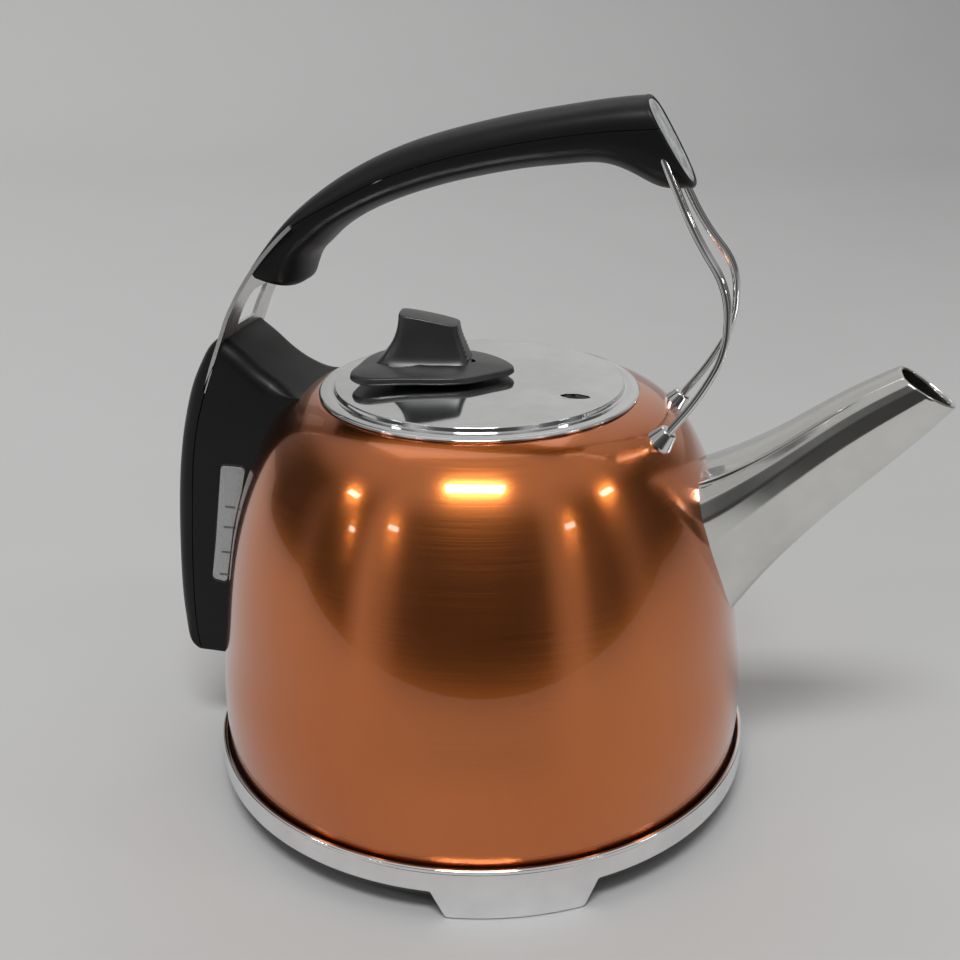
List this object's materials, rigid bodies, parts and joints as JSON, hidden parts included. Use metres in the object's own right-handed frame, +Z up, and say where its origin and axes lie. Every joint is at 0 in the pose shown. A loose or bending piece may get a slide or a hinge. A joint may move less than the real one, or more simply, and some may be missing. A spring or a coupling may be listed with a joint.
{
  "type": "kettle",
  "caption": "Dome-shaped cordless kettle with drop-in lid, bridge handle on bent rods and a bracket, trough spout and round power base.",
  "frame": {"origin": "centre of the power base, on the surface that it stands on; the kettle's own axis is the Z axis", "axes": "+Z up, +X towards the spout, +Y to the left of someone looking along +X"},
  "size_m": [0.2861, 0.2073, 0.2564],
  "materials": {
    "copper_body": "copper-coloured lacquer over circumferentially brushed steel",
    "chrome_lid": "mirror",
    "chrome_base": "mirror",
    "polished_spout": "bright polished nickel-plated steel",
    "chrome_rod": "bright plated",
    "bracket_steel": "fine satin, bright cut edges",
    "inner_steel": "satin",
    "black_satin": "satin moulded",
    "black_base": "fine matt texture",
    "grey_cap": "fine mottled grey",
    "nylon": "natural nylon",
    "phenolic": "matt phenolic",
    "rubber_foot": "matt",
    "silicone": "translucent grey",
    "contact_brass": "bright",
    "aluminium_plate": "as rolled",
    "fastener_steel": "zinc plated",
    "gauge_window": "silvery translucent window with level marks",
    "gauge_clear": "clear moulded",
    "lens_red": "clear red lens"
  },
  "bodies": {
    "base": {"base_skirt": "chrome_base", "base_top_plate": "black_base", "base_pan": "black_base", "base_screws": "fastener_steel", "base_foot_pads": "rubber_foot", "base_connector": "phenolic", "base_contacts": "contact_brass", "cord_inlet_bush": "black_base"},
    "slip_ring": {"slip_ring": "nylon"},
    "kettle": {"body_shell": "copper_body", "mouth_collar": "inner_steel", "bottom_collar": "black_base", "bottom_cover": "black_base", "bottom_screws": "fastener_steel", "floor_plate": "inner_steel", "heat_spreader": "aluminium_plate", "heating_element": "aluminium_plate", "control_block": "phenolic", "kettle_socket": "phenolic", "socket_contacts": "contact_brass", "spout": "polished_spout", "spout_strainer": "inner_steel", "handle_bracket": "bracket_steel", "front_rods_left": "chrome_rod", "front_rods_right": "chrome_rod", "rod_feet": "chrome_rod", "rod_nuts": "fastener_steel", "handle_upper_shell": "black_satin", "handle_lower_shell": "black_satin", "handle_end_cap": "grey_cap", "handle_screws": "fastener_steel", "rod_clamp_block": "aluminium_plate", "housing_body": "black_satin", "housing_rear_cover": "black_satin", "housing_screws": "fastener_steel", "water_windows": "gauge_window", "gauge_chamber": "gauge_clear", "indicator_lens": "lens_red", "switch_frame": "phenolic", "switch_pin": "fastener_steel", "steam_tube": "nylon", "steam_switch": "phenolic"},
    "switch": {"switch_rocker": "black_satin"},
    "lid": {"lid_shell": "chrome_lid", "lid_liner": "inner_steel", "lid_seal": "silicone", "lid_knob": "black_satin", "knob_screws": "fastener_steel", "whistle_cup": "inner_steel", "whistle_disc": "contact_brass"}
  },
  "joints": [
    {"name": "base_swivel", "type": "hinge", "parent": "base", "child": "slip_ring", "pos_m": [0, 0, 0.0147], "axis": [0, 0, 1], "continuous": true},
    {"name": "kettle_lift", "type": "slide", "parent": "slip_ring", "child": "kettle", "axis": [0, 0, 1], "range_m": [0, 0.06]},
    {"name": "lid_lift", "type": "slide", "parent": "kettle", "child": "lid", "axis": [0, 0, 1], "range_m": [0, 0.028]},
    {"name": "switch_rock", "type": "hinge", "parent": "kettle", "child": "switch", "pos_m": [-0.1126, 0, 0.062], "axis": [0, 1, 0], "range_deg": [-10, 0]}
  ]
}
